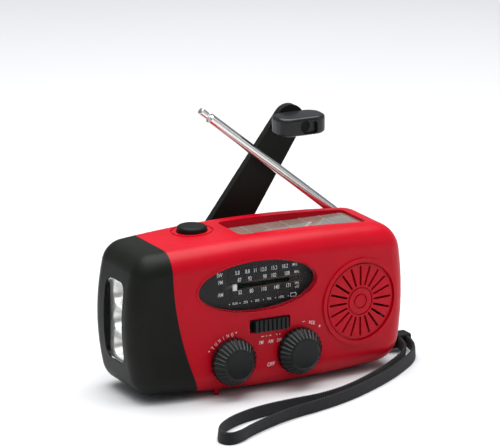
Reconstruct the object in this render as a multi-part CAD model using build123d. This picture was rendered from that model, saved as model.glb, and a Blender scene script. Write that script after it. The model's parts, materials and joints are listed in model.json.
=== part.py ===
from build123d import *
from functools import lru_cache
import math
import os

os.makedirs("parts", exist_ok=True)

# Emergency radio, in millimetres. +X runs along the length, from the lamp end to the speaker end,
# +Y to the back, and Z = 0 is the surface that the three feet stand on.

# Housing form
half_length = 63.0
front_y = -22.0
back_y = 23.5
bottom_z = 1.3
top_z = 64.1
crown_drop = 3.0
belly_rise = 1.65
front_sweep = 5.8
back_sweep = 2.4
sweep_x = 70.0
edge_round = 9.0
corner_rounds = {(-1, 1): 10.0, (-1, -1): 9.6, (1, 1): 13.5, (1, -1): 12.0}
wall = 2.2
parting_y = 16.9
seam_bottom = (-32.4, 0.0)
seam_middle = (-42.3, 27.5)
seam_top = (-45.3, 70.0)

# Ledge behind the top rim where the collapsed antenna lies
ledge_left = -34.0
ledge_z = 55.2

# Front controls
dial_x, dial_z = -8.5, 45.3
dial_a, dial_b = 26.7, 10.7
dial_seat = 0.6
pointer_x = -17.7
tuning_x, tuning_z = -20.7, 15.5
volume_x, volume_z = 9.4, 15.9
knob_r = 9.8
knob_back = -22.2
knob_face = -28.9
knob_face_r = 5.9
knob_flutes = 30
control_shaft_r = 3.0
switch_x, switch_z = -3.4, 28.6
switch_slot = (18.6, 5.6)
switch_cap = (15.0, 4.8)
speaker_x, speaker_z = 39.3, 32.0
speaker_ring_r = 17.4
grille_slots = 20
grille_slot_wide = 0.9

# Top
button_x, button_y = -24.3, 6.5
button_r = 6.2
solar_left, solar_right = -10.6, 47.8
solar_front, solar_back = -10.0, 11.4
solar_top = 61.0

# Lamp in the left end
lamp_y, lamp_z = 0.9, 32.3
lamp_wide, lamp_high = 16.6, 34.0
lamp_cups = (21.8, 32.3, 42.8)

# Dial drive
gear_module = 0.6
tuning_teeth = 18
tuning_pitch_r = gear_module * tuning_teeth / 2

# Crank and generator train
crank_x, crank_z = -15.1, 33.8
crank_length = 80.0
crank_angle = 55.3
hub_r = 12.5
hub_back = 24.1
fold_y = 26.5
arm_half = 2.1
crank_module = 0.8
crank_teeth, pinion_teeth = 36, 12
idler_bearing = 20.0
motor_bearing = -10.0
grip_size = (22.0, 13.5, 7.8)
grip_back = 24.1

# Board, gear plate, screws and feet
plate_y = 9.2
plate_posts = ((-33.0, 47.0), (27.4, 47.5), (-33.0, 23.0), (27.4, 25.5))
screw_seat = 18.6
board_front, board_back = -4.4, -2.8
board_screw_places = ((-33.0, 33.0), (24.0, 52.0), (-32.6, 9.0))
screw_places = ((-38.5, 51.5), (57.0, 45.5), (-37.9, 29.5), (57.6, 23.0))
foot_places = ((-24.3, -15.0), (-24.3, 15.0), (44.0, 0.0))

# Antenna
antenna_x, antenna_y, antenna_z = 50.0, 19.5, 58.3
antenna_rise = 38.75
antenna_radii = (2.1, 1.6, 1.15, 0.75)
antenna_wall = 0.3
antenna_gap = 0.05
collapsed_reach = 76.0

# Port cover's hinge edge
port_axis_y, port_axis_z = 22.9, 9.2

# Battery
cell_r, cell_length = 8.9, 65.0
cell_x, cell_y, cell_z = 20.0, 6.7, 14.0

# Carrying strap, a woven tape that stands on its edge
strap_r = 1.2
strap_z = 2.6
bar_x, bar_y, bar_r = 60.4, 6.0, 1.1
strap_points = [
    (73.6, 0.6, 4.4), (73.8, -4.5, 3.2), (70.0, -11.5, strap_z), (61.5, -20.0, strap_z),
    (46.5, -32.0, strap_z), (24.0, -45.5, strap_z), (4.0, -53.5, strap_z), (-12.5, -57.5, strap_z),
    (-26.0, -63.5, strap_z), (-37.0, -69.5, strap_z), (-44.0, -74.5, strap_z), (-49.5, -76.0, strap_z),
    (-52.0, -71.5, strap_z), (-48.5, -64.5, strap_z), (-41.0, -58.0, strap_z), (-31.5, -53.0, strap_z),
    (-19.5, -49.5, strap_z), (-6.0, -48.0, strap_z), (6.5, -47.5, strap_z), (22.0, -42.5, strap_z),
    (44.0, -29.0, strap_z), (59.0, -17.0, strap_z), (66.5, -9.5, strap_z), (69.8, -4.0, 3.2),
    (69.6, 0.6, 4.4),
]


def prism_x(face, x0, x1):
    return extrude(Plane.YZ.offset(x0) * face, x1 - x0)


def prism_y(face, y0, y1):
    return extrude(Plane.XZ.offset(-y1) * face, y1 - y0)


def prism_z(face, z0, z1):
    return extrude(Plane.XY.offset(z0) * face, z1 - z0)


def rod_y(x, z, r, y0, y1):
    return prism_y(Pos(x, z) * Circle(r), y0, y1)


def rod_z(x, y, r, z0, z1):
    return prism_z(Pos(x, y) * Circle(r), z0, z1)


def rod_x(y, z, r, x0, x1):
    return prism_x(Pos(y, z) * Circle(r), x0, x1)


def block(x0, x1, y0, y1, z0, z1):
    return Pos((x0 + x1) / 2, (y0 + y1) / 2, (z0 + z1) / 2) * Box(x1 - x0, y1 - y0, z1 - z0)


def soft_block(x0, x1, y0, y1, z0, z1, r):
    box = block(x0, x1, y0, y1, z0, z1)
    return fillet(box.edges(), r)


def one(shape):
    return max(shape.solids(), key=lambda solid: solid.volume)


def save(shape, node):
    export_step(shape, "parts/" + node + ".step")


# ---------------------------------------------------------------- housing


def front_outline(inset):
    left = ThreePointArc(
        (-half_length + 4.4 + inset, bottom_z + belly_rise + inset),
        (-half_length + inset, (bottom_z + top_z) / 2),
        (-half_length + 4.4 + inset, top_z - crown_drop - inset),
    )
    top = ThreePointArc(
        left @ 1,
        (0, top_z - inset),
        (half_length - 3.4 - inset, top_z - crown_drop - inset),
    )
    right = ThreePointArc(
        top @ 1,
        (half_length - inset, (bottom_z + top_z) / 2),
        (half_length - 3.4 - inset, bottom_z + belly_rise + inset),
    )
    bottom = ThreePointArc(right @ 1, (0, bottom_z + inset), left @ 0)
    face = make_face([left, top, right, bottom])
    for (side, end), radius in corner_rounds.items():
        corner = max(face.vertices(), key=lambda v: side * v.X + end * v.Y)
        face = fillet(corner, radius - inset)
    return face


def plan_outline(inset):
    front_end = front_y + front_sweep + inset
    front = ThreePointArc((-sweep_x, front_end), (0, front_y + inset), (sweep_x, front_end))
    back_end = back_y - back_sweep - inset
    back = ThreePointArc((sweep_x, back_end), (0, back_y - inset), (-sweep_x, back_end))
    return make_face([front, Line(front @ 1, back @ 0), back, Line(back @ 1, front @ 0)])


@lru_cache(maxsize=None)
def form(inset):
    """The whole outer form, pulled in by inset all round."""
    body = prism_y(front_outline(inset), -40, 40) & prism_z(plan_outline(inset), -10, 80)
    rim = [edge for edge in body.edges() if abs((edge @ 0).Y - (edge @ 1).Y) < 8]
    rim = [edge for edge in rim if (edge @ 0 - edge @ 1).length > 0.5]
    return one(fillet(rim, edge_round - inset))


def skin(outside, inside):
    """A layer of the form between two insets."""
    return form(outside) - form(inside)


def cap_zone():
    seam = ThreePointArc(seam_bottom, seam_middle, seam_top)
    far = Polyline(seam_top, (-90, seam_top[1]), (-90, seam_bottom[1]), seam_bottom)
    return prism_y(make_face([seam, far]), -45, 45)


def antenna_ledge(grow):
    return block(ledge_left - grow, 80, parting_y - grow, 40, ledge_z - grow, 80)


def strap_pocket(grow):
    return block(56.6 - grow, 80, 2.0 - grow, 10.0 + grow, 5.4 - grow, 12.6 + grow)


def hub_pocket(grow):
    return rod_y(crank_x, crank_z, hub_r + 0.5 + grow, 20.6 - grow, 40)


def port_pocket(grow):
    return block(-40.5 - grow, -10.5 + grow, 21.0 - grow, 40, 7.1 - grow, 19.9 + grow)


def solar_pocket(grow):
    area = Pos((solar_left + solar_right) / 2, (solar_front + solar_back) / 2) * RectangleRounded(
        solar_right - solar_left + 2 * grow, solar_back - solar_front + 2 * grow, 2.5 + grow
    )
    return prism_z(area, solar_top - 1.6 - grow, 80)


@lru_cache(maxsize=None)
def hollow_case():
    outside = form(0)
    inside = form(wall)
    for pocket in (antenna_ledge, strap_pocket, hub_pocket, port_pocket, solar_pocket):
        outside = outside - pocket(0)
        inside = inside - pocket(wall - 0.4)
    return outside - inside


def grille_slot(index):
    slot = Pos((6.6 + 15.0) / 2, 0) * SlotOverall(15.0 - 6.6, grille_slot_wide)
    return Pos(speaker_x, speaker_z) * (Rot(0, 0, index * 360 / grille_slots) * slot)


def ring_face(x, z, outer, inner):
    return Pos(x, z) * (Circle(outer) - Circle(inner))


def make_front_shell():
    shell = hollow_case() - cap_zone() - block(-90, 90, parting_y, 60, -10, 90)
    # dial opening, with a step that seats the window
    rim = prism_y(Pos(dial_x, dial_z) * Ellipse(dial_a + 0.7, dial_b + 0.7), -40, 0)
    shell = shell + (rim & skin(-0.35, 1))
    shell = shell - (prism_y(Pos(dial_x, dial_z) * Ellipse(dial_a, dial_b), -40, 0) - form(1.3))
    shell = shell - prism_y(Pos(dial_x, dial_z) * Ellipse(dial_a - dial_seat, dial_b - dial_seat), -40, -5)
    # controls
    shell = shell - prism_y(Pos(switch_x, switch_z) * RectangleRounded(*switch_slot, 0.9), -40, -10)
    shell = shell - rod_y(tuning_x, tuning_z, control_shaft_r + 0.3, -40, -10)
    shell = shell - rod_y(volume_x, volume_z, control_shaft_r + 0.3, -40, -10)
    # speaker grille: a raised bead, a groove inside it, radial slots and two hub grooves
    bead = ring_face(speaker_x, speaker_z, speaker_ring_r + 0.8, speaker_ring_r - 0.8)
    shell = shell + (prism_y(bead, -40, -10) & skin(-0.75, 1))
    for outer, inner in ((16.5, 15.7), (6.0, 5.4), (3.2, 2.6)):
        shell = shell - (prism_y(ring_face(speaker_x, speaker_z, outer, inner), -40, -10) - form(0.6))
    for index in range(grille_slots):
        shell = shell - prism_y(grille_slot(index), -40, -10)
    # lamp button hole and the groove round it
    shell = shell - rod_z(button_x, button_y, button_r + 0.25, 50, 80)
    shell = shell - (prism_z(Pos(button_x, button_y) * (Circle(8.8) - Circle(8.1)), 50, 80) - form(0.5))
    # feet, posts for the case screws and the board screws, and the strap bar
    for x, y in foot_places:
        shell = shell + rod_z(x, y, 1.15, 0, bottom_z + 3.0)
    for x, z in screw_places:
        shell = shell + (rod_y(x, z, 2.5, -21, parting_y) & form(1.0)) - rod_y(x, z, 0.9, 4, parting_y + 1)
    for x, z in board_screw_places:
        shell = shell + (rod_y(x, z, 2.6, -21, board_front) & form(1.0)) - rod_y(x, z, 1.15, -7.2, 0)
    shell = shell + rod_z(bar_x, bar_y, bar_r, 4.5, 13.5)
    return one(shell)


def make_rear_cover():
    cover = hollow_case() & block(-90, 90, parting_y, 60, -10, 90)
    cover = cover - cap_zone()
    # boss and hole that hold the antenna's bracket
    boss = rod_z(antenna_x, antenna_y, 3.6, 45.0, ledge_z - 0.5) & form(0.1)
    cover = cover + (boss - block(-90, 90, -40, parting_y, -10, 90))
    cover = cover - rod_z(antenna_x, antenna_y, 2.05, 46.5, 80)
    # crank bushing bore and the four posts that carry the gear plate
    cover = cover - rod_y(crank_x, crank_z, 5.0, 10, 40)
    for x, z in plate_posts:
        cover = cover + rod_y(x, z, 2.0, plate_y + 1.5, back_y - 1.6)
    # socket windows and screw holes
    cover = cover - block(-37.1, -23.9, 10, 40, 11.2, 17.0) - block(-20.6, -12.4, 10, 40, 12.4, 15.6)
    for x, z in screw_places:
        cover = cover + (rod_y(x, z, 3.4, parting_y, 40) & form(0.2))
        cover = cover - rod_y(x, z, 1.2, 10, 40) - rod_y(x, z, 2.5, screw_seat, 40)
    return one(cover)


def make_lamp_cap():
    cap = hollow_case() & cap_zone()
    window = Pos(lamp_y, lamp_z) * RectangleRounded(lamp_wide, lamp_high, 4.5)
    bezel = Pos(lamp_y, lamp_z) * RectangleRounded(lamp_wide + 3.0, lamp_high + 3.0, 6.0)
    cap = cap + (prism_x(bezel, -70, -51.5) & form(0.6))
    cap = cap - prism_x(window, -80, -40)
    return one(cap)


# ---------------------------------------------------------------- lamp


def make_lamp_reflector():
    block_face = Pos(lamp_y, lamp_z) * RectangleRounded(lamp_wide - 0.4, lamp_high - 0.4, 4.3)
    body = prism_x(block_face, -59.5, -52.0)
    for z in lamp_cups:
        cup_mouth = Plane(origin=(-59.6, lamp_y, z), z_dir=(1, 0, 0))
        cup = cup_mouth * Cone(5.15, 2.1, 7.0, align=(Align.CENTER, Align.CENTER, Align.MIN))
        body = body - cup - rod_x(lamp_y, z, 1.9, -60, -50)
    return one(body)


def make_lamp_lens():
    face = Pos(lamp_y, lamp_z) * RectangleRounded(lamp_wide - 0.4, lamp_high - 0.4, 4.3)
    return prism_x(face, -61.2, -59.8)


def make_lamp_leds():
    leds = []
    for z in lamp_cups:
        dome = Pos(-53.2, lamp_y, z) * Sphere(1.5)
        leds.append(one(rod_x(lamp_y, z, 1.5, -53.2, -51.7) + dome))
    return Compound(leds)


def make_lamp_board():
    return block(-51.6, -50.4, lamp_y - 7.6, lamp_y + 7.6, lamp_z - 14.6, lamp_z + 14.6)


def make_lamp_button():
    stem = rod_z(button_x, button_y, 1.6, 58.9, 61.0)
    cap = rod_z(button_x, button_y, button_r, 60.6, 65.8)
    cap = fillet(cap.edges().sort_by(Axis.Z)[-1:], 1.3)
    flange = rod_z(button_x, button_y, button_r + 0.9, 59.6, 60.4) & form(wall + 0.3)
    return one(stem + cap + flange + rod_z(button_x, button_y, button_r - 0.5, 59.8, 61.2))


def make_lamp_switch():
    body = block(button_x - 3, button_x + 3, button_y - 3, button_y + 3, 53.6, 57.1)
    return one(body + rod_z(button_x, button_y, 1.5, 57.0, 57.6))


def make_solar_panel():
    width, depth = solar_right - solar_left - 0.3, solar_back - solar_front - 0.3
    centre = Pos((solar_left + solar_right) / 2, (solar_front + solar_back) / 2)
    return prism_z(centre * RectangleRounded(width, depth, 2.3), solar_top - 1.6, solar_top)


# ---------------------------------------------------------------- dial and controls


def make_dial_window():
    lens = prism_y(Pos(dial_x, dial_z) * Ellipse(dial_a - 0.12, dial_b - 0.12), -40, 0)
    return one(lens & skin(0.15, 1.25))


def make_dial_plate():
    plate = prism_y(Pos(dial_x, dial_z) * Ellipse(dial_a + 1.0, dial_b + 0.8), -17.4, -16.6)
    return plate - prism_y(Pos(dial_x + 2.2, dial_z - 0.3) * SlotOverall(28.5, 1.9), -20, -10)


def rack_outline():
    """The carriage's foot: a bar with trapezoid teeth along its lower edge."""
    pitch = math.pi * gear_module
    line = tuning_z + tuning_pitch_r + 0.08
    points = [(tuning_x + 8.0, line + 3.0), (tuning_x - 28.0, line + 3.0)]
    for index in range(-14, 4):
        centre = tuning_x + (index + 0.5) * pitch
        points.append((centre - 0.30 * pitch, line + 0.75))
        points.append((centre - 0.13 * pitch, line - 0.5))
        points.append((centre + 0.13 * pitch, line - 0.5))
        points.append((centre + 0.30 * pitch, line + 0.75))
    points[1] = (points[2][0], line + 3.0)
    points[0] = (points[-1][0], line + 3.0)
    return make_face(Polyline(*points, close=True))


def make_dial_pointer():
    carriage = prism_y(rack_outline(), -13.0, -11.4)
    mast = block(pointer_x - 1.4, pointer_x + 1.4, -13.0, -11.4, tuning_z + 7.0, dial_z + 1.4)
    carriage = carriage + mast
    carriage = carriage + rod_y(pointer_x, dial_z - 0.3, 0.7, -18.4, -12.0)
    head = block(pointer_x - 0.9, pointer_x + 0.9, -18.7, -17.8, dial_z - 1.6, dial_z + 1.0)
    return one(carriage + head)


def fluted_knob(x, z):
    """A round knob whose side and bevel are cut by shallow flutes, with a plain flat face."""
    profile = make_face(
        Polyline(
            (0, 0),
            (knob_r, 0),
            (knob_r, 2.7),
            (knob_face_r + 1.1, knob_back - knob_face - 0.7),
            (knob_face_r, knob_back - knob_face),
            (0, knob_back - knob_face),
            close=True,
        )
    )
    knob = revolve(Plane.XZ * profile, Axis.Z)
    bevel_run = knob_r - knob_face_r - 1.1
    bevel_rise = knob_back - knob_face - 0.7 - 2.7
    lean = math.degrees(math.atan2(bevel_run, bevel_rise))
    for index in range(knob_flutes):
        side = Pos(knob_r + 0.45, 0, 1.4) * Cylinder(0.95, 2.9)
        bevel = Pos(knob_r - bevel_run / 2 + 0.38, 0, 2.7 + bevel_rise / 2 + 0.42) * (
            Rot(0, -lean, 0) * Cylinder(0.95, math.hypot(bevel_run, bevel_rise) + 0.9)
        )
        turn = Rot(0, 0, index * 360 / knob_flutes)
        knob = knob - (turn * side) - (turn * bevel)
    return Pos(x, knob_back, z) * (Rot(90, 0, 0) * one(knob))


def make_knob(x, z, shaft_end):
    knob = fluted_knob(x, z)
    return one(knob + rod_y(x, z, control_shaft_r - 0.8, knob_back - 0.5, shaft_end))


def gear_outline(teeth, module, phase):
    """Trapezoid teeth, thin enough to leave backlash all round."""
    pitch_r = module * teeth / 2
    step = 360 / teeth
    points = []
    for index in range(teeth):
        centre = phase + index * step
        for radius, share in ((-1.15, -0.30), (0.85, -0.13), (0.85, 0.13), (-1.15, 0.30)):
            angle = math.radians(centre + share * step)
            r = pitch_r + radius * module
            points.append((r * math.cos(angle), r * math.sin(angle)))
    return make_face(Polyline(*points, close=True))


def gear(x, z, teeth, module, phase, y0, y1):
    return prism_y(Pos(x, z) * gear_outline(teeth, module, phase), y0, y1)


def make_tuning_pinion():
    pinion = gear(tuning_x, tuning_z, tuning_teeth, gear_module, 90, -13.2, -11.2)
    return pinion - rod_y(tuning_x, tuning_z, control_shaft_r - 0.8, -20, -5)


def make_tuning_capacitor():
    body = soft_block(tuning_x - 7.4, tuning_x + 8, -10.4, -4.5, tuning_z - 8, tuning_z + 8, 0.6)
    return one(body - rod_y(tuning_x, tuning_z, control_shaft_r - 0.75, -20, -7.9))


def make_volume_pot():
    body = soft_block(volume_x - 7.5, volume_x + 7.5, -10.4, -4.5, volume_z - 7.5, volume_z + 7.5, 0.6)
    neck = rod_y(volume_x, volume_z, 3.5, -15.0, -10.0)
    return one(body + neck - rod_y(volume_x, volume_z, control_shaft_r - 0.75, -20, -7.9))


def make_band_switch_cap():
    width, high = switch_cap
    cap = prism_y(Pos(switch_x, switch_z) * Rectangle(width, high), -23.9, -20.2)
    for index in range(-3, 4):
        cap = cap - prism_y(Pos(switch_x + index * 2.0, switch_z) * Rectangle(1.1, 10), -30, -23.2)
    stem = block(switch_x - 1.5, switch_x + 1.5, -20.3, -17.6, switch_z - 1.2, switch_z + 1.2)
    return one(cap + stem)


def make_band_switch_body():
    body = block(switch_x - 8, switch_x + 8, -18.4, -14.0, switch_z - 3.3, switch_z + 3.3)
    body = body - block(switch_x - 3.5, switch_x + 3.5, -30, -16.8, switch_z - 1.5, switch_z + 1.5)
    for index in range(-2, 3):
        body = body + prism_y(Pos(switch_x + index * 2.5, switch_z) * Rectangle(0.6, 2.0), -14.1, -13.5)
    return one(body)


# ---------------------------------------------------------------- speaker, board and battery


def make_speaker_frame():
    flange = rod_y(speaker_x, speaker_z, 17.6, -15.3, -14.2)
    basket = Pos(speaker_x, -14.3, speaker_z) * (
        Rot(-90, 0, 0) * Cone(16.6, 10.0, 8.0, align=(Align.CENTER, Align.CENTER, Align.MIN))
    )
    hollow = Pos(speaker_x, -15.4, speaker_z) * (
        Rot(-90, 0, 0) * Cone(16.0, 8.4, 8.3, align=(Align.CENTER, Align.CENTER, Align.MIN))
    )
    return one(flange + basket - hollow - rod_y(speaker_x, speaker_z, 5.0, -16, -5))


def make_speaker_cone():
    """A thin paper cone with a dust cap that domes forward."""
    front_side = [(14.8, -15.0), (14.4, -15.0), (5.2, -8.9), (4.0, -9.9), (2.2, -10.6), (0, -10.9)]
    back_side = [(0, -10.4), (2.0, -10.1), (3.7, -9.4), (5.2, -8.2), (14.8, -14.5)]
    profile = make_face(Polyline(*front_side, *back_side, close=True))
    return Pos(speaker_x, 0, speaker_z) * revolve(profile, Axis.Y)


def make_speaker_magnet():
    return rod_y(speaker_x, speaker_z, 9.2, -6.2, -1.2) + rod_y(speaker_x, speaker_z, 7.0, -1.2, 0.4)


def make_main_board():
    board = block(-34.9, 27.0, board_front, board_back, 6.0, 55.0)
    for x, z in board_screw_places:
        board = board - rod_y(x, z, 1.3, -10, 10)
    return board


def make_board_screws():
    screws = []
    for x, z in board_screw_places:
        shank = rod_y(x, z, 1.1, -7.0, board_back)
        screws.append(one(shank + rod_y(x, z, 2.2, board_back, board_back + 1.2)))
    return Compound(screws)


def make_ferrite_rod():
    return rod_x(4.0, 52.6, 3.5, -8.0, 46.0)


def make_ferrite_coil():
    return rod_x(4.0, 52.6, 4.6, 31.0, 44.0) - rod_x(4.0, 52.6, 3.55, 20, 50)


def make_ferrite_holders():
    holders = []
    for x in (-3.0, 19.0):
        holder = block(x - 1.5, x + 1.5, board_back, 4.0, 50.0, 55.2) - rod_x(4.0, 52.6, 3.55, -20, 60)
        holders.append(one(holder))
    return Compound(holders)


def make_battery_cell():
    x0 = cell_x - cell_length / 2
    cell = rod_x(cell_y, cell_z, cell_r, x0, x0 + cell_length)
    cell = fillet(cell.edges().filter_by(GeomType.CIRCLE), 0.8)
    return one(cell + rod_x(cell_y, cell_z, 2.6, x0 + cell_length - 0.2, x0 + cell_length + 0.9))


def make_battery_cradle():
    cradles = []
    for x in (0.0, 44.0):
        saddle = block(x - 2, x + 2, cell_y - 8, cell_y + 8, 4.7, 10.0)
        cradles.append(one(saddle - rod_x(cell_y, cell_z, cell_r + 0.05, -60, 80)))
    return Compound(cradles)


# ---------------------------------------------------------------- generator


def polar(x, z, radius, bearing):
    angle = math.radians(bearing)
    return x + radius * math.cos(angle), z + radius * math.sin(angle)


mesh_distance = crank_module * (crank_teeth + pinion_teeth) / 2
motor_distance = gear_module * (crank_teeth + pinion_teeth) / 2
idler_x, idler_z = polar(crank_x, crank_z, mesh_distance, idler_bearing)
motor_x, motor_z = polar(idler_x, idler_z, motor_distance, motor_bearing)
half_tooth = 180 / pinion_teeth


def make_crank_gear():
    wheel = gear(crank_x, crank_z, crank_teeth, crank_module, idler_bearing, 14.9, 17.6)
    return one(wheel + rod_y(crank_x, crank_z, 5.5, 12.0, 17.6) - rod_y(crank_x, crank_z, 3.0, 0, 40))


def make_crank_shaft():
    return rod_y(crank_x, crank_z, 3.0, plate_y - 0.8, 21.2)


def make_crank_bushing():
    return rod_y(crank_x, crank_z, 4.95, 17.9, 20.9) - rod_y(crank_x, crank_z, 3.05, 0, 40)


def make_idler_gear():
    small = gear(idler_x, idler_z, pinion_teeth, crank_module, idler_bearing + 180 + half_tooth, 14.0, 17.8)
    large = gear(idler_x, idler_z, crank_teeth, gear_module, motor_bearing, 11.2, 14.0)
    return one(small + large - rod_y(idler_x, idler_z, 1.55, 0, 40))


def make_idler_pin():
    return rod_y(idler_x, idler_z, 1.5, plate_y - 0.6, 18.4)


def make_generator():
    can = rod_y(motor_x, motor_z, 10.8, -0.9, plate_y)
    can = fillet(can.edges().sort_by(Axis.Y)[:1], 1.2)
    return one(can - rod_y(motor_x, motor_z, 1.06, 1.0, 20))


def make_generator_pinion():
    teeth = gear(motor_x, motor_z, pinion_teeth, gear_module, motor_bearing + 180 + half_tooth, 11.0, 14.0)
    return one(teeth + rod_y(motor_x, motor_z, 1.0, 1.2, 14.6))


def make_gear_plate():
    plate = block(-34.9, 30.4, plate_y, plate_y + 1.5, 22.8, 50.5)
    plate = plate - rod_y(crank_x, crank_z, 3.05, 0, 40) - rod_y(idler_x, idler_z, 1.5, 0, 40)
    return plate - rod_y(motor_x, motor_z, 2.0, 0, 40)


# ---------------------------------------------------------------- crank


arm_dir = (math.cos(math.radians(crank_angle)), math.sin(math.radians(crank_angle)))
fold_dir = (-arm_dir[1], arm_dir[0])
end_x, end_z = crank_x + crank_length * arm_dir[0], crank_z + crank_length * arm_dir[1]


def lean(shape):
    """Turns a shape built with the arm along +X, about the crank axis, to the arm's rest angle."""
    return Pos(crank_x, 0, crank_z) * (Rot(0, -crank_angle, 0) * shape)


def make_crank_hub():
    disc = rod_y(0, 0, hub_r, 21.2, hub_back)
    disc = chamfer(disc.edges().sort_by(Axis.Y)[-1:], 0.8)
    disc = disc - block(-3.0, 3.0, 23.4, 40, -6.3, 6.3) - block(-40, 40, 23.9, 40, -6.3, 6.3)
    for side in (-1, 1):
        ear = prism_z(Pos(0, fold_y) * Circle(2.5) + Pos(0, 24.6) * Rectangle(5.0, 3.8), 6.5, 9.8)
        disc = disc + (ear if side > 0 else mirror(ear, Plane.XY))
    disc = disc - Pos(0, fold_y, 0) * Cylinder(1.0, 40)
    return one(lean(disc))


def make_fold_pin():
    return lean(Pos(0, fold_y, 0) * Cylinder(0.95, 19.0))


def make_crank_arm():
    root, tip = 6.1, 6.4
    near_side = [(0, -root), (3.4, -root), (6.4, -9.6), (crank_length, -tip)]
    far_side = [(crank_length, tip), (6.4, 9.6), (3.4, root), (0, root)]
    outline = make_face(Polyline(*near_side, *far_side, close=True))
    plate = prism_y(outline + Pos(crank_length, 0) * Circle(tip), fold_y - arm_half, fold_y + arm_half)
    plate = chamfer(plate.edges().filter_by(Plane.XZ).sort_by(Axis.Y)[-10:], 0.7)
    plate = plate - prism_y(Pos(0, 0) * Rectangle(3.9, 20), fold_y - 10, fold_y + 10)
    barrel = Pos(0, fold_y, 0) * Cylinder(arm_half, 2 * root)
    plate = plate + barrel + block(0, 3.4, fold_y - arm_half, fold_y + arm_half, -root, root)
    plate = plate - Pos(0, fold_y, 0) * Cylinder(1.0, 40)
    plate = plate - rod_y(crank_length, 0, 1.55, 0, 60) - rod_y(crank_length, 0, 2.7, fold_y + 1.0, 60)
    return one(lean(plate))


def make_grip_pin():
    shank = rod_y(end_x, end_z, 1.5, 13.2, fold_y + 1.2)
    rivet_head = rod_y(end_x, end_z, 2.6, fold_y + 1.05, fold_y + 2.0)
    return one(shank + rivet_head + rod_y(end_x, end_z, 2.4, 12.4, 13.3))


def make_crank_grip():
    wide, deep, high = grip_size
    plan = Pos(end_x, grip_back - deep / 2) * RectangleRounded(wide, deep, 5.6)
    grip = prism_z(plan, end_z - high / 2, end_z + high / 2)
    grip = fillet(grip.edges().filter_by(Plane.XY), 1.5)
    well = Pos(end_x + 2.0, end_z - 0.6) * RectangleRounded(6.7, 5.1, 1.0)
    grip = grip - prism_y(well, 0, 12.2)
    return one(grip - rod_y(end_x, end_z, 1.55, 0, 60) - rod_y(end_x, end_z, 2.5, 0, 13.35))


# ---------------------------------------------------------------- antenna


def along_antenna(shape):
    """Turns a shape built along +X from the hinge so that it rises towards the lamp end."""
    return Pos(antenna_x, antenna_y, antenna_z) * (Rot(0, 180 + antenna_rise, 0) * shape)


def rod_along(radius, start, stop):
    return Pos((start + stop) / 2, 0, 0) * (Rot(0, 90, 0) * Cylinder(radius, stop - start))


def make_antenna_bracket():
    post = rod_z(antenna_x, antenna_y, 2.0, 46.8, ledge_z)
    collar = rod_z(antenna_x, antenna_y, 2.4, ledge_z + 0.15, ledge_z + 0.7)
    tongue = prism_y(Pos(antenna_x, ledge_z + 1.8) * Rectangle(3.8, 2.6), antenna_y - 0.75, antenna_y + 0.75)
    eye = rod_y(antenna_x, antenna_z, 1.9, antenna_y - 0.75, antenna_y + 0.75)
    bracket = post + collar + tongue + eye + rod_z(antenna_x, antenna_y, 2.0, ledge_z - 0.2, ledge_z + 0.6)
    return one(bracket - rod_y(antenna_x, antenna_z, 0.85, 0, 40))


def make_antenna_rivet():
    rivet = rod_y(antenna_x, antenna_z, 0.8, antenna_y - 2.2, antenna_y + 2.2)
    for y0, y1 in ((antenna_y - 2.45, antenna_y - 2.15), (antenna_y + 2.15, antenna_y + 2.45)):
        rivet = rivet + rod_y(antenna_x, antenna_z, 1.3, y0, y1)
    return one(rivet)


def make_antenna_tube(index):
    """Each section slides in the one before it. The first carries the fork, the last the tip knob."""
    radius = antenna_radii[index]
    start = (-1.8, 6.5, 7.0, 7.5)[index]
    stop = collapsed_reach + 0.45 * index
    tube = rod_along(radius, start, stop)
    if index < 3:
        tube = tube - rod_along(antenna_radii[index + 1] + antenna_gap, 6.0 + 0.45 * index, 200)
    if index == 0:
        tube = fillet(tube.edges().sort_by(Axis.X)[:1], 1.5)
        tube = tube - (Pos(-0.2, 0, 0) * Box(5.4, 1.8, 10))
        tube = tube - (Rot(90, 0, 0) * Cylinder(0.85, 20))
    if index == 3:
        knob = rod_along(1.55, stop + 0.3, stop + 4.4)
        knob = fillet(knob.edges().filter_by(GeomType.CIRCLE), 0.5)
        tube = tube + rod_along(radius, stop - 1, stop + 0.5) + knob
    return one(along_antenna(tube))


# ---------------------------------------------------------------- sockets and cover


def make_usb_socket():
    can = block(-37.0, -24.0, 7.0, 20.8, 11.3, 16.9)
    can = can - block(-36.6, -24.4, 8.0, 30, 11.7, 16.5)
    return one(can + block(-35.7, -25.3, 7.5, 19.6, 14.6, 16.0))


def make_micro_socket():
    can = block(-20.5, -12.5, 15.2, 20.8, 12.5, 15.5)
    can = can - block(-20.1, -12.9, 16.0, 30, 12.9, 15.1)
    return one(can + block(-18.5, -14.5, 15.5, 20.0, 13.7, 14.2))


def make_port_board():
    return block(-38.0, -12.5, 4.9, 6.9, 8.6, 18.0)


def make_port_cover():
    cover = block(-40.1, -10.9, 21.3, 22.9, port_axis_z - 0.1, 19.6)
    cover = fillet(cover.edges().filter_by(Axis.Y), 0.6)
    lip = block(-27.6, -23.4, 22.8, 23.5, 18.2, 19.5)
    return one(cover + lip)


def make_case_screws():
    screws = []
    for x, z in screw_places:
        screw = rod_y(x, z, 2.3, screw_seat, screw_seat + 1.4) + rod_y(x, z, 0.85, 6.0, screw_seat)
        for wide, high in ((1.4, 0.25), (0.25, 1.4)):
            screw = screw - block(x - wide, x + wide, screw_seat + 0.6, back_y, z - high, z + high)
        screws.append(one(screw))
    return Compound(screws)


# ---------------------------------------------------------------- strap


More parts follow.
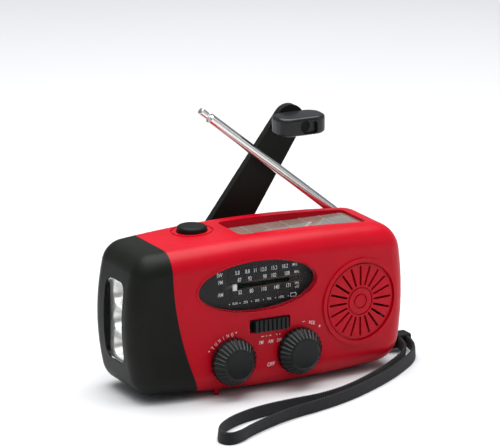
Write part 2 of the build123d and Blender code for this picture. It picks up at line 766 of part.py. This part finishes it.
def strap_radii():
    """As large as the two runs at each point allow."""
    radii = []
    for before, at, after in zip(strap_points, strap_points[1:], strap_points[2:]):
        way_in = Vector(*at) - Vector(*before)
        way_out = Vector(*after) - Vector(*at)
        turn = math.radians(way_in.get_angle(way_out))
        radii.append(0.45 * min(way_in.length, way_out.length) / math.tan(turn / 2))
    return radii


def make_wrist_strap():
    radii = strap_radii()
    path = FilletPolyline(*strap_points, radius=radii)
    section = Plane(origin=path @ 0, z_dir=path % 0) * Circle(strap_r)
    strap = sweep(section, path=path)
    print("strap radii", [round(r, 1) for r in radii])
    swept = math.pi * strap_r**2 * path.length
    print("strap length", round(path.length, 1), "volume ratio", round(strap.volume / swept, 4))
    return strap


def make_strap_clip():
    body = soft_block(65.6, 76.0, 0.9, 7.7, 1.6, 7.6, 1.2)
    hook = block(58.7, 67.0, 4.4, 7.6, 6.0, 9.0)
    hook = fillet(hook.edges().filter_by(Axis.Z), 1.4) + block(64.0, 67.0, 4.4, 7.6, 4.0, 9.0)
    hook = hook - rod_z(bar_x, bar_y, bar_r + 0.08, 0, 20)
    return one(body + hook)


builders = {
    "front_shell": make_front_shell,
    "rear_cover": make_rear_cover,
    "lamp_cap": make_lamp_cap,
    "lamp_lens": make_lamp_lens,
    "lamp_reflector": make_lamp_reflector,
    "lamp_leds": make_lamp_leds,
    "lamp_board": make_lamp_board,
    "lamp_button": make_lamp_button,
    "lamp_switch": make_lamp_switch,
    "solar_panel": make_solar_panel,
    "dial_window": make_dial_window,
    "dial_plate": make_dial_plate,
    "dial_pointer": make_dial_pointer,
    "tuning_knob": lambda: make_knob(tuning_x, tuning_z, -8.0),
    "tuning_pinion": make_tuning_pinion,
    "tuning_capacitor": make_tuning_capacitor,
    "volume_knob": lambda: make_knob(volume_x, volume_z, -8.0),
    "volume_control": make_volume_pot,
    "band_switch_cap": make_band_switch_cap,
    "band_switch_body": make_band_switch_body,
    "speaker_frame": make_speaker_frame,
    "speaker_cone": make_speaker_cone,
    "speaker_magnet": make_speaker_magnet,
    "main_board": make_main_board,
    "board_screws": make_board_screws,
    "ferrite_rod": make_ferrite_rod,
    "ferrite_coil": make_ferrite_coil,
    "ferrite_holders": make_ferrite_holders,
    "battery_cell": make_battery_cell,
    "battery_cradles": make_battery_cradle,
    "crank_gear": make_crank_gear,
    "crank_shaft": make_crank_shaft,
    "crank_bushing": make_crank_bushing,
    "idler_gear": make_idler_gear,
    "idler_pin": make_idler_pin,
    "generator": make_generator,
    "generator_pinion": make_generator_pinion,
    "gear_plate": make_gear_plate,
    "crank_hub": make_crank_hub,
    "fold_pin": make_fold_pin,
    "crank_arm": make_crank_arm,
    "grip_pin": make_grip_pin,
    "crank_grip": make_crank_grip,
    "antenna_bracket": make_antenna_bracket,
    "antenna_rivet": make_antenna_rivet,
    "antenna_base_tube": lambda: make_antenna_tube(0),
    "antenna_second_tube": lambda: make_antenna_tube(1),
    "antenna_third_tube": lambda: make_antenna_tube(2),
    "antenna_tip_rod": lambda: make_antenna_tube(3),
    "usb_socket": make_usb_socket,
    "micro_socket": make_micro_socket,
    "port_board": make_port_board,
    "port_cover": make_port_cover,
    "case_screws": make_case_screws,
    "strap_clip": make_strap_clip,
    "wrist_strap": make_wrist_strap,
}

for node, builder in builders.items():
    save(builder(), node)
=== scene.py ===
import bmesh
import bpy
import json
import math
from mathutils import Matrix, Vector


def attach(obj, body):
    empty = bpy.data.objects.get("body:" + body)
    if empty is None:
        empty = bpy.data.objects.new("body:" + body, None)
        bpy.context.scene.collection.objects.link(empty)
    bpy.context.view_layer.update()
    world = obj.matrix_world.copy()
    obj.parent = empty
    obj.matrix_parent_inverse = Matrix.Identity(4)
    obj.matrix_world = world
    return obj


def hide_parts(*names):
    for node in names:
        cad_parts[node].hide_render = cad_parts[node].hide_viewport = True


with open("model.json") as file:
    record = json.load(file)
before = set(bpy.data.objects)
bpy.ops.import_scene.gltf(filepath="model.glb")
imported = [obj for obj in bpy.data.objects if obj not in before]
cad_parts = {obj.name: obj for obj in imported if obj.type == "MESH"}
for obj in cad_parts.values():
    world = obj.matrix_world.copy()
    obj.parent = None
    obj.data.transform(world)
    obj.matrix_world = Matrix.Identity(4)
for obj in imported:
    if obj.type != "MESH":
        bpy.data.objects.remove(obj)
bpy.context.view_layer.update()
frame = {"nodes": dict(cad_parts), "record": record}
nodes = frame["nodes"]
MM = 0.001

# Places and sizes on the radio, in millimetres: +X along the length, +Y to the back, +Z up
FRONT_Y = -22.0
FRONT_SWEEP = 5.8
SWEEP_X = 70.0
DIAL_FACE_Y = -17.4
TUNING = (-20.7, 15.5)
VOLUME = (9.4, 15.9)
TAPE_WIDTH = 5.0
TAPE_THICK = 1.1
CAPITAL_SHARE = 0.7  # a capital letter's height, as a share of the font's size
CAMERA_AZIMUTH = 27.62
CAMERA_ELEVATION = 15.36
CAMERA_DISTANCE = 1689.0
CAMERA_LENS = 297.6
CAMERA_SENSOR = 36.0
AIM_HEIGHT = 31.3
AIM_RIGHT = -0.957
AIM_UP = 32.26
FLOOR_HALF = 6.0  # metres, as the lights' places are


# ---------------------------------------------------------------- materials


def new_material(name):
    material = bpy.data.materials.new(name)
    material.use_nodes = True
    tree = material.node_tree
    return material, tree, tree.nodes["Principled BSDF"]


def link(tree, out, into):
    tree.links.new(out, into)


def object_coords(tree):
    return tree.nodes.new("ShaderNodeTexCoord").outputs["Object"]


def noise(tree, scale, detail=3.0, coords=None):
    node = tree.nodes.new("ShaderNodeTexNoise")
    node.inputs["Scale"].default_value = scale
    node.inputs["Detail"].default_value = detail
    link(tree, coords or object_coords(tree), node.inputs["Vector"])
    return node.outputs["Fac"]


def ramp(tree, value, stops):
    node = tree.nodes.new("ShaderNodeValToRGB")
    elements = node.color_ramp.elements
    while len(elements) < len(stops):
        elements.new(0.5)
    for element, (place, colour) in zip(elements, stops):
        element.position = place
        element.color = (*colour, 1.0)
    link(tree, value, node.inputs["Fac"])
    return node.outputs["Color"]


def spread(tree, value, low, high):
    node = tree.nodes.new("ShaderNodeMapRange")
    node.inputs["To Min"].default_value = low
    node.inputs["To Max"].default_value = high
    link(tree, value, node.inputs["Value"])
    return node.outputs["Result"]


def bump(tree, value, distance, strength=0.4):
    node = tree.nodes.new("ShaderNodeBump")
    node.inputs["Strength"].default_value = strength
    node.inputs["Distance"].default_value = distance * MM
    link(tree, value, node.inputs["Height"])
    return node.outputs["Normal"]


def moulded(name, dark, light, rough, grain=2600, grain_depth=0.02, shine=0.5):
    """Injection-moulded plastic: a faint cloud in the colour, fine surface grain and uneven gloss."""
    material, tree, shader = new_material(name)
    link(tree, ramp(tree, noise(tree, 60), [(0.35, dark), (0.7, light)]), shader.inputs["Base Color"])
    link(tree, spread(tree, noise(tree, 220, 5), rough - 0.05, rough + 0.07), shader.inputs["Roughness"])
    link(tree, bump(tree, noise(tree, grain, 2), grain_depth), shader.inputs["Normal"])
    shader.inputs["Specular IOR Level"].default_value = shine
    return material


def metal(name, colour, rough, streak=0.05, stretch=(1, 1, 1)):
    material, tree, shader = new_material(name)
    mapping = tree.nodes.new("ShaderNodeMapping")
    mapping.inputs["Scale"].default_value = stretch
    link(tree, object_coords(tree), mapping.inputs["Vector"])
    streaks = noise(tree, 900, 3, mapping.outputs["Vector"])
    darker = tuple(0.86 * c for c in colour)
    link(tree, ramp(tree, streaks, [(0.3, darker), (0.7, colour)]), shader.inputs["Base Color"])
    link(tree, spread(tree, streaks, rough - streak, rough + streak), shader.inputs["Roughness"])
    shader.inputs["Metallic"].default_value = 1.0
    return material


def clear(name, tint, rough=0.03):
    material, tree, shader = new_material(name)
    link(tree, ramp(tree, noise(tree, 30), [(0.3, tint), (0.7, (1, 1, 1))]), shader.inputs["Base Color"])
    link(tree, spread(tree, noise(tree, 400), rough, rough + 0.02), shader.inputs["Roughness"])
    shader.inputs["Transmission Weight"].default_value = 1.0
    shader.inputs["IOR"].default_value = 1.12
    return material


def paint(name, colour):
    material, tree, shader = new_material(name)
    worn = tuple(0.86 * c for c in colour)
    link(tree, ramp(tree, noise(tree, 900), [(0.3, worn), (0.55, colour)]), shader.inputs["Base Color"])
    shader.inputs["Roughness"].default_value = 0.5
    return material


def solar_glass():
    """Cells in narrow strips under glass, coloured a light grey-green as a painted reflection of bright
    surroundings over the dark cells, with thin bright collector lines between them.
    """
    material, tree, shader = new_material("solar_glass")
    split = tree.nodes.new("ShaderNodeSeparateXYZ")
    link(tree, object_coords(tree), split.inputs["Vector"])

    def lines(axis, pitch, width):
        scaled = tree.nodes.new("ShaderNodeMath")
        scaled.operation = "DIVIDE"
        scaled.inputs[1].default_value = pitch * MM
        link(tree, split.outputs[axis], scaled.inputs[0])
        part = tree.nodes.new("ShaderNodeMath")
        part.operation = "FRACT"
        link(tree, scaled.outputs[0], part.inputs[0])
        thin = tree.nodes.new("ShaderNodeMath")
        thin.operation = "LESS_THAN"
        thin.inputs[1].default_value = width
        link(tree, part.outputs[0], thin.inputs[0])
        return thin.outputs[0]

    both = tree.nodes.new("ShaderNodeMath")
    both.operation = "MAXIMUM"
    link(tree, lines("X", 9.1, 0.035), both.inputs[0])
    link(tree, lines("Y", 1.25, 0.09), both.inputs[1])
    mix = tree.nodes.new("ShaderNodeMix")
    mix.data_type = "RGBA"
    link(tree, both.outputs[0], mix.inputs["Factor"])
    # painted reflection: the cells' light grey-green stands in for bright surroundings mirrored in the glass;
    # the cells themselves are dark
    cells_with_painted_reflection = [(0.3, (0.15, 0.15, 0.125)), (0.7, (0.21, 0.205, 0.175))]
    link(tree, ramp(tree, noise(tree, 120), cells_with_painted_reflection), mix.inputs["A"])
    mix.inputs["B"].default_value = (0.34, 0.34, 0.30, 1)
    link(tree, mix.outputs["Result"], shader.inputs["Base Color"])
    link(tree, spread(tree, noise(tree, 300), 0.16, 0.24), shader.inputs["Roughness"])
    shader.inputs["Coat Weight"].default_value = 1.0
    shader.inputs["Coat Roughness"].default_value = 0.05
    shader.inputs["Coat IOR"].default_value = 1.6
    return material


def woven_tape():
    """A flat braid: two crossing sets of diagonal yarns, from the tape's own length and width."""
    material, tree, shader = new_material("strap_weave")
    uv = tree.nodes.new("ShaderNodeTexCoord").outputs["UV"]
    heights = []
    for turn in (0.62, -0.62):
        mapping = tree.nodes.new("ShaderNodeMapping")
        mapping.inputs["Rotation"].default_value = (0, 0, turn)
        link(tree, uv, mapping.inputs["Vector"])
        wave = tree.nodes.new("ShaderNodeTexWave")
        wave.inputs["Scale"].default_value = 0.36
        wave.inputs["Distortion"].default_value = 0.5
        link(tree, mapping.outputs["Vector"], wave.inputs["Vector"])
        heights.append(wave.outputs["Fac"])
    both = tree.nodes.new("ShaderNodeMath")
    both.operation = "MULTIPLY"
    link(tree, heights[0], both.inputs[0])
    link(tree, heights[1], both.inputs[1])
    yarn = [(0.0, (0.002, 0.002, 0.003)), (0.6, (0.014, 0.014, 0.017))]
    link(tree, ramp(tree, both.outputs[0], yarn), shader.inputs["Base Color"])
    shader.inputs["Roughness"].default_value = 0.75
    shader.inputs["Sheen Weight"].default_value = 0.08
    shader.inputs["Specular IOR Level"].default_value = 0.25
    link(tree, bump(tree, both.outputs[0], 0.35, 0.9), shader.inputs["Normal"])
    return material


def circuit_board():
    material, tree, shader = new_material("circuit_board")
    tracks = tree.nodes.new("ShaderNodeTexBrick")
    tracks.inputs["Scale"].default_value = 260
    tracks.inputs["Color1"].default_value = (0.012, 0.10, 0.035, 1)
    tracks.inputs["Color2"].default_value = (0.016, 0.14, 0.05, 1)
    tracks.inputs["Mortar"].default_value = (0.03, 0.22, 0.08, 1)
    link(tree, object_coords(tree), tracks.inputs["Vector"])
    link(tree, tracks.outputs["Color"], shader.inputs["Base Color"])
    link(tree, spread(tree, noise(tree, 500), 0.3, 0.45), shader.inputs["Roughness"])
    return material


def make_materials():
    return {
        "red_shell": moulded("red_shell", (0.44, 0.0005, 0.010), (0.49, 0.0005, 0.012), 0.36, shine=0.16),
        "black_shell": moulded(
            "black_shell", (0.007, 0.008, 0.006), (0.010, 0.011, 0.009), 0.42, 1800, 0.03, shine=0.12
        ),
        "knob_black": moulded(
            "knob_black", (0.004, 0.005, 0.005), (0.007, 0.008, 0.008), 0.34, 1800, 0.03, shine=0.25
        ),
        "grip_plastic": moulded(
            "grip_plastic", (0.008, 0.008, 0.009), (0.014, 0.014, 0.016), 0.28, 1500, 0.02, shine=0.35
        ),
        "white_plastic": moulded("white_plastic", (0.78, 0.78, 0.76), (0.85, 0.85, 0.83), 0.4),
        "dial_face": moulded("dial_face", (0.008, 0.008, 0.009), (0.012, 0.012, 0.013), 0.4, shine=0.2),
        "port_rubber": moulded("port_rubber", (0.02, 0.02, 0.02), (0.03, 0.03, 0.03), 0.65, 1200, 0.04),
        "cell_sleeve": moulded("cell_sleeve", (0.02, 0.10, 0.35), (0.03, 0.13, 0.42), 0.25),
        "speaker_paper": moulded("speaker_paper", (0.02, 0.02, 0.02), (0.035, 0.034, 0.033), 0.85, 900, 0.08),
        "ferrite": moulded("ferrite", (0.03, 0.03, 0.032), (0.05, 0.05, 0.052), 0.6, 1500, 0.06),
        "clear_plastic": clear("clear_plastic", (0.97, 0.98, 0.98)),
        "reflector": metal("reflector", (0.93, 0.93, 0.89), 0.34),
        "chrome": metal("chrome", (0.80, 0.80, 0.79), 0.16),
        "steel": metal("steel", (0.55, 0.55, 0.55), 0.34, 0.08, (1, 12, 1)),
        "brass": metal("brass", (0.72, 0.55, 0.25), 0.3),
        "copper": metal("copper", (0.75, 0.36, 0.2), 0.35, 0.08, (20, 1, 1)),
        "solar_glass": solar_glass(),
        "circuit_board": circuit_board(),
        "strap_fabric": woven_tape(),
        "print_white": paint("print_white", (0.78, 0.78, 0.76)),
        "dial_white": paint("dial_white", (0.92, 0.92, 0.90)),
        "dial_red": paint("dial_red", (0.10, 0.012, 0.008)),
    }


materials = make_materials()


def dress_frame():
    """Every CAD node takes the material of its slot in the record, apart from a few."""
    special = {
        "tuning_knob": "knob_black",
        "volume_knob": "knob_black",
        "band_switch_cap": "knob_black",
        "grip_pin": "black_shell",
    }
    for part in frame["record"]["subparts"]:
        node = part["node"]
        name = special.get(node, part["material_slot"])
        for slot in nodes[node].material_slots:
            slot.material = materials[name]
        if not nodes[node].material_slots:
            nodes[node].data.materials.append(materials[name])


# ---------------------------------------------------------------- print on the front


def front_y(x):
    """The front wall's surface, a circular sweep in plan."""
    radius = (SWEEP_X**2 + FRONT_SWEEP**2) / (2 * FRONT_SWEEP)
    return FRONT_Y + radius - math.sqrt(radius**2 - x**2)


def mesh_piece(name, bm, material, body="housing"):
    mesh = bpy.data.meshes.new(name)
    bm.to_mesh(mesh)
    bm.free()
    obj = bpy.data.objects.new(name, mesh)
    bpy.context.collection.objects.link(obj)
    mesh.materials.append(materials[material])
    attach(obj, body)
    return obj


class Print:
    """Collects flat lettering and marks, laid on a surface, as one mesh."""

    def __init__(self, surface, thick=0.02):
        self.bm = bmesh.new()
        self.surface = surface
        self.thick = thick

    def add_mesh(self, mesh, x, z, turn, slant, wide):
        start = len(self.bm.verts)
        self.bm.from_mesh(mesh)
        self.bm.verts.ensure_lookup_table()
        for vert in self.bm.verts[start:]:
            u = vert.co.x * wide + vert.co.y * slant
            v = vert.co.y
            px = x + u * math.cos(turn) - v * math.sin(turn)
            pz = z + u * math.sin(turn) + v * math.cos(turn)
            vert.co = Vector((px, self.surface(px) - self.thick, pz)) * MM

    def text(self, words, x, z, height, turn=0.0, slant=0.0, wide=0.78):
        curve = bpy.data.curves.new("print_text", "FONT")
        curve.body = words
        curve.size = height / CAPITAL_SHARE
        curve.align_x = "CENTER"
        curve.align_y = "CENTER"
        curve.offset = 0.004 * height
        obj = bpy.data.objects.new("print_text", curve)
        bpy.context.collection.objects.link(obj)
        bpy.context.view_layer.update()
        mesh = bpy.data.meshes.new_from_object(obj.evaluated_get(bpy.context.evaluated_depsgraph_get()))
        self.add_mesh(mesh, x, z, turn, slant, wide)
        bpy.data.objects.remove(obj)
        bpy.data.curves.remove(curve)
        bpy.data.meshes.remove(mesh)

    def outline(self, points):
        verts = [self.bm.verts.new(Vector((x, self.surface(x) - self.thick, z)) * MM) for x, z in points]
        self.bm.faces.new(verts)

    def bar(self, x, z, wide, high):
        corners = ((-1, -1), (1, -1), (1, 1), (-1, 1))
        self.outline([(x + side * wide / 2, z + end * high / 2) for side, end in corners])

    def dot(self, x, z, radius, sides=12):
        turns = [2 * math.pi * i / sides for i in range(sides)]
        self.outline([(x + radius * math.cos(t), z + radius * math.sin(t)) for t in turns])

    def finish(self, name, material):
        bmesh.ops.recalc_face_normals(self.bm, faces=self.bm.faces)
        for face in self.bm.faces:
            if face.normal.y > 0:
                face.normal_flip()
        mesh_piece(name, self.bm, material, "housing")


def print_dial():
    """Scale numbers in three bands, their units, a charge gauge and two red lines between the bands."""
    marks = Print(lambda x: DIAL_FACE_Y, 0.03)
    scale_height, unit_height, gauge_height = 1.65, 1.2, 1.0
    gauge_z, gauge_dot, dot_gap = 37.9, 0.25, 2.6
    rows = {
        50.6: [
            ("SW", -24.0),
            ("5.8", -16.0),
            ("8.8", -11.4),
            ("11", -7.9),
            ("12.0", -4.2),
            ("15.2", 0.7),
            ("18.2", 5.6),
        ],
        47.5: [("FM", -23.6), ("87", -15.0), ("92", -10.3), ("98", -3.5), ("102", 0.5), ("108", 6.6)],
        42.3: [("AM", -23.6), ("52", -14.8), ("80", -9.6), ("110", -4.0), ("140", 1.8), ("171", 7.3)],
    }
    for z, words in rows.items():
        for word, x in words:
            marks.text(word, x, z, scale_height, wide=0.72)
    for word, x, z in (("MHz", 10.2, 50.8), ("MHz", 11.1, 47.6), ("kHz", 11.2, 42.9), ("x10", 11.2, 41.3)):
        marks.text(word, x, z, unit_height, wide=0.7)
    for word, x in (("RUN", -17.0), ("25%", -12.2), ("50%", -7.0), ("75%", -1.6), ("100%", 4.0)):
        marks.text(word, x, gauge_z, gauge_height, wide=0.85)
        marks.dot(x - dot_gap, gauge_z, gauge_dot)
    marks.dot(7.2, gauge_z, gauge_dot)
    # battery mark: a rounded outline with a cap
    battery_x, battery_z = 9.5, 38.2
    for side in (-1, 1):
        marks.bar(battery_x, battery_z + side * 0.75, 2.6, 0.3)
        marks.bar(battery_x + side * 1.2, battery_z, 0.3, 1.5)
    marks.bar(battery_x + 1.5, battery_z, 0.35, 0.7)
    marks.finish("dial_scale_print", "dial_white")
    line = Print(lambda x: DIAL_FACE_Y, 0.02)
    line_x, line_length = 1.0, 25.0
    line.bar(line_x, 46.4, line_length, 0.3)
    line.bar(line_x, 43.7, line_length, 0.25)
    line.finish("dial_line_print", "dial_red")


def print_front():
    """White words and marks round the knobs and under the band switch."""
    marks = Print(front_y, 0.03)
    letter_radius, dot_radius = 11.5, 12.3
    first_letter, letter_step = 142.6, 9.8
    band_words_z, band_marks_z = 21.3, 23.9
    arc_x, arc_z = TUNING[0] + 1.0, TUNING[1] - 0.7
    for index, letter in enumerate("TUNING"):
        angle = math.radians(first_letter - letter_step * index)
        x = arc_x + letter_radius * math.cos(angle)
        z = arc_z + letter_radius * math.sin(angle)
        marks.text(letter, x, z, 1.45, angle - math.pi / 2, wide=0.72)
    for angle in (math.radians(152), math.radians(85)):
        marks.dot(arc_x + dot_radius * math.cos(angle), arc_z + dot_radius * math.sin(angle), 0.3)
    marks.bar(VOLUME[0] + 2.7, VOLUME[1] + 11.6, 1.1, 0.24)
    marks.text("VOL", VOLUME[0] + 6.6, VOLUME[1] + 10.6, 1.4, math.radians(-14), 0.2, 0.85)
    marks.bar(VOLUME[0] + 10.2, VOLUME[1] + 8.6, 1.0, 0.24)
    marks.bar(VOLUME[0] + 10.2, VOLUME[1] + 8.6, 0.24, 1.0)
    marks.text("OFF", VOLUME[0] - 12.4, VOLUME[1] - 4.3, 1.6, 0.0, 0.2, 0.85)
    for word, x in (("FM", -7.4), ("AM", -3.1), ("SW", 0.8)):
        marks.text(word, x, band_words_z, 1.45, 0.0, 0.12, 0.75)
    for x, wide in ((-6.8, 1.4), (-3.4, 1.0), (-0.4, 0.6)):
        marks.bar(x, band_marks_z, wide, 0.3)
    for x in (-5.1, 1.0):
        marks.dot(x, band_marks_z, 0.26)
    marks.finish("front_print", "print_white")


# ---------------------------------------------------------------- strap

TAPE_ROUTE = [
    (73.6, 0.6, 4.4), (73.8, -4.5, 3.2), (70.0, -11.5, 2.6), (61.5, -20.0, 2.6), (46.5, -32.0, 2.6),
    (24.0, -45.5, 2.6), (4.0, -53.5, 2.6), (-12.5, -57.5, 2.6), (-26.0, -63.5, 2.6), (-37.0, -69.5, 2.6),
    (-44.0, -74.5, 2.6), (-49.5, -76.0, 2.6), (-52.0, -71.5, 2.6), (-48.5, -64.5, 2.6), (-41.0, -58.0, 2.6),
    (-31.5, -53.0, 2.6), (-19.5, -49.5, 2.6), (-6.0, -48.0, 2.6), (6.5, -47.5, 2.6), (22.0, -42.5, 2.6),
    (44.0, -29.0, 2.6), (59.0, -17.0, 2.6), (66.5, -9.5, 2.6), (69.8, -4.0, 3.2), (69.6, 0.6, 4.4),
]


def route_curve(points):
    curve = bpy.data.curves.new("tape_route", "CURVE")
    curve.dimensions = "3D"
    curve.resolution_u = 12
    spline = curve.splines.new("NURBS")
    spline.points.add(len(points) - 1)
    for point, place in zip(spline.points, points):
        point.co = (*(Vector(place) * MM), 1.0)
    spline.order_u = 3
    spline.use_endpoint_u = True
    return bpy.data.objects.new("tape_route", curve)


def route_line(points):
    """Points read along the smooth line whose control points are the route."""
    obj = route_curve(points)
    bpy.context.collection.objects.link(obj)
    bpy.context.view_layer.update()
    mesh = bpy.data.meshes.new_from_object(obj.evaluated_get(bpy.context.evaluated_depsgraph_get()))
    line = [v.co.copy() for v in mesh.vertices]
    bpy.data.meshes.remove(mesh)
    bpy.data.objects.remove(obj)
    return line


def make_strap():
    """The tape stands on its edge: its width is upright, and it is thin across its route."""
    line = route_line(TAPE_ROUTE)
    soft = 0.78  # how far the section's flats reach towards its corners
    sway, sway_step = 0.10, 0.05
    edge_gap = 0.06
    upper = [(1, soft), (soft, 1), (-soft, 1), (-1, soft)]
    lower = [(-1, -soft), (-soft, -1), (soft, -1), (1, -soft)]
    corner_steps = upper + lower
    bm = bmesh.new()
    uv_layer = bm.loops.layers.uv.new("UVMap")
    rings, along = [], [0.0]
    for index, at in enumerate(line):
        before, after = line[max(index - 1, 0)], line[min(index + 1, len(line) - 1)]
        ahead = (after - before).normalized()
        side = Vector((ahead.y, -ahead.x, 0)).normalized()
        lean = sway * math.sin(index * sway_step)
        up = (Vector((0, 0, 1)) + side * lean).normalized()
        ring = []
        for across, high in corner_steps:
            offset = side * across * TAPE_THICK / 2 * MM + up * high * (TAPE_WIDTH / 2 - edge_gap) * MM
            ring.append(bm.verts.new(at + offset))
        rings.append(ring)
        if index:
            along.append(along[-1] + (at - line[index - 1]).length)
    # the weave's place round the section, from corner to corner, in millimetres
    round_uv = [1.0, 1.5, 2.5, 3.0, 9.0, 9.5, 10.5, 11.0, 17.0]
    sides = len(corner_steps)
    for index in range(len(rings) - 1):
        for step in range(sides):
            other = (step + 1) % sides
            here, there = rings[index], rings[index + 1]
            face = bm.faces.new([here[step], here[other], there[other], there[step]])
            face.smooth = True
            u0, u1 = along[index] / MM, along[index + 1] / MM
            v0, v1 = round_uv[step], round_uv[step + 1]
            for loop, uv in zip(face.loops, ((u0, v0), (u0, v1), (u1, v1), (u1, v0))):
                loop[uv_layer].uv = uv
    bm.faces.new(list(reversed(rings[0])))
    bm.faces.new(rings[-1])
    bmesh.ops.recalc_face_normals(bm, faces=bm.faces)
    strap = mesh_piece("wrist_tape", bm, "strap_fabric", "housing")
    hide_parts("wrist_strap")


# ---------------------------------------------------------------- stage


def area_light(name, place, target, size, power, colour=(1, 1, 1)):
    data = bpy.data.lights.new(name, "AREA")
    data.shape = "RECTANGLE"
    data.size, data.size_y = size
    data.energy = power
    data.color = colour
    obj = bpy.data.objects.new(name, data)
    obj.location = place
    obj.rotation_euler = (Vector(target) - Vector(place)).to_track_quat("-Z", "Y").to_euler()
    bpy.context.collection.objects.link(obj)


def make_camera():
    azimuth, elevation = math.radians(CAMERA_AZIMUTH), math.radians(CAMERA_ELEVATION)
    right = Vector((math.cos(azimuth), -math.sin(azimuth), 0))
    level = math.cos(elevation)
    back = Vector((-math.sin(azimuth) * level, -math.cos(azimuth) * level, math.sin(elevation)))
    up = back.cross(right)
    aim = Vector((0, 0, AIM_HEIGHT)) + right * AIM_RIGHT + up * AIM_UP
    data = bpy.data.cameras.new("camera")
    data.sensor_width = CAMERA_SENSOR
    data.lens = CAMERA_LENS
    camera = bpy.data.objects.new("camera", data)
    place = (aim + back * CAMERA_DISTANCE) * MM
    turn = Matrix((right, up, back)).transposed().to_4x4()
    camera.matrix_world = Matrix.Translation(place) @ turn
    bpy.context.collection.objects.link(camera)
    bpy.context.scene.camera = camera


def make_stage():
    bm = bmesh.new()
    bmesh.ops.create_grid(bm, x_segments=1, y_segments=1, size=FLOOR_HALF)
    mesh = bpy.data.meshes.new("floor")
    bm.to_mesh(mesh)
    bm.free()
    floor = bpy.data.objects.new("floor", mesh)
    bpy.context.collection.objects.link(floor)
    material, tree, shader = new_material("pale_floor")
    greys = [(0.3, (0.66, 0.67, 0.68)), (0.7, (0.7, 0.7, 0.71))]
    link(tree, ramp(tree, noise(tree, 2), greys), shader.inputs["Base Color"])
    shader.inputs["Roughness"].default_value = 0.6
    mesh.materials.append(material)
    world = bpy.data.worlds.new("studio")
    bpy.context.scene.world = world
    world.use_nodes = True
    world.node_tree.nodes["Background"].inputs["Color"].default_value = (0.93, 0.95, 1.0, 1)
    world.node_tree.nodes["Background"].inputs["Strength"].default_value = 0.3
    area_light("key", (-0.3, -0.3, 1.05), (0, 0, 0.03), (1.1, 0.9), 8.0)
    area_light("fill", (0.9, -0.7, 0.5), (0, 0, 0.03), (0.6, 0.6), 0.8)
    area_light("top", (0.1, 0.15, 1.0), (0, 0, 0.05), (1.2, 0.8), 16.0)
    bpy.context.scene.view_settings.view_transform = "Standard"


make_camera()
dress_frame()
make_strap()
print_dial()
print_front()
make_stage()
